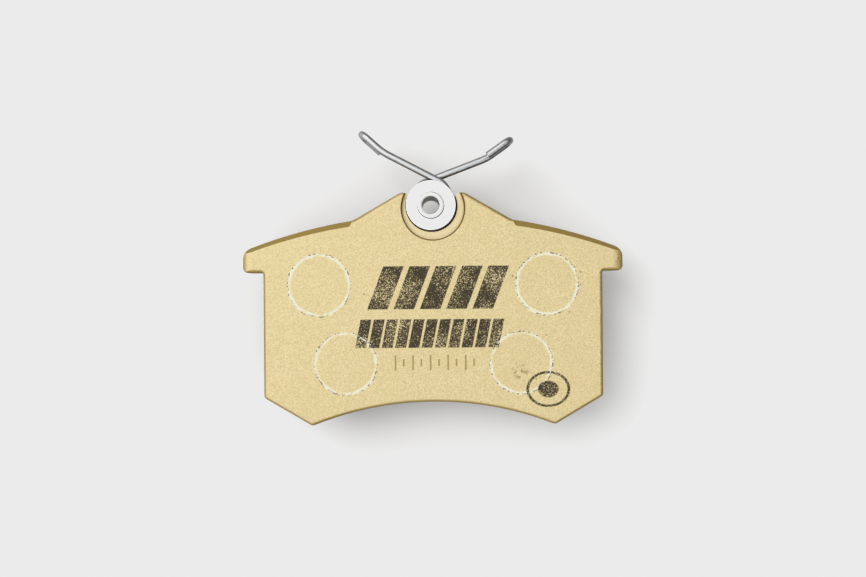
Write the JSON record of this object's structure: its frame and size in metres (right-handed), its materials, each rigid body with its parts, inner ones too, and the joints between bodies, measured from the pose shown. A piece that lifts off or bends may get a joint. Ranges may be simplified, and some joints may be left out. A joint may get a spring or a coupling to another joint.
{
  "type": "disc brake pad",
  "caption": "Rear disc brake pad: a gold-coated steel backing plate with a bonded friction lining and a riveted wire retaining spring with two folded arms.",
  "frame": {"origin": "On the friction face (z = 0), on the plate's line of symmetry (x = 0), halfway up the whole part including the spring (y = 0); the brake disc's axis is parallel to Z at y = -103.12 mm.", "axes": "+Z from the friction face to the steel back, which the piston pushes on; +Y away from the brake disc's axis, towards the spring; +X along the pad, to the right as seen from the back."},
  "size_m": [0.087, 0.068, 0.0183],
  "materials": {
    "coated_plate": "satin",
    "friction_compound": "matte",
    "underlayer_compound": "matte",
    "adhesive": "satin",
    "plug_compound": "satin",
    "zinc_plated_steel": "satin",
    "bright_zinc_washer": "satin",
    "spring_wire": "gloss"
  },
  "bodies": {
    "pad": {"backing_plate": "coated_plate", "friction_lining": "friction_compound", "underlayer": "underlayer_compound", "adhesive_film": "adhesive", "keying_plug_upper_left": "plug_compound", "keying_plug_upper_right": "plug_compound", "keying_plug_lower_left": "plug_compound", "keying_plug_lower_right": "plug_compound", "tubular_rivet": "zinc_plated_steel", "spacer_bush": "zinc_plated_steel", "retaining_washer": "bright_zinc_washer"},
    "coil": {"spring_coil": "spring_wire"},
    "left_arm": {"spring_arm_left": "spring_wire"},
    "right_arm": {"spring_arm_right": "spring_wire"}
  },
  "joints": [
    {"name": "spring_swivel", "type": "hinge", "parent": "pad", "child": "coil", "pos_m": [-0.00023, 0.01613, 0.0144], "axis": [0, 0, 1], "range_deg": [-12, 12]},
    {"name": "left_arm_flex", "type": "hinge", "parent": "coil", "child": "left_arm", "pos_m": [-0.00023, 0.01613, 0.0144], "axis": [0, 0, 1], "range_deg": [0, 15], "stiffness_Nm_per_rad": 6.4, "deforming": ["spring_coil"]},
    {"name": "right_arm_flex", "type": "hinge", "parent": "coil", "child": "right_arm", "pos_m": [-0.00023, 0.01613, 0.0144], "axis": [0, 0, -1], "range_deg": [0, 15], "stiffness_Nm_per_rad": 6.4, "deforming": ["spring_coil"]}
  ]
}
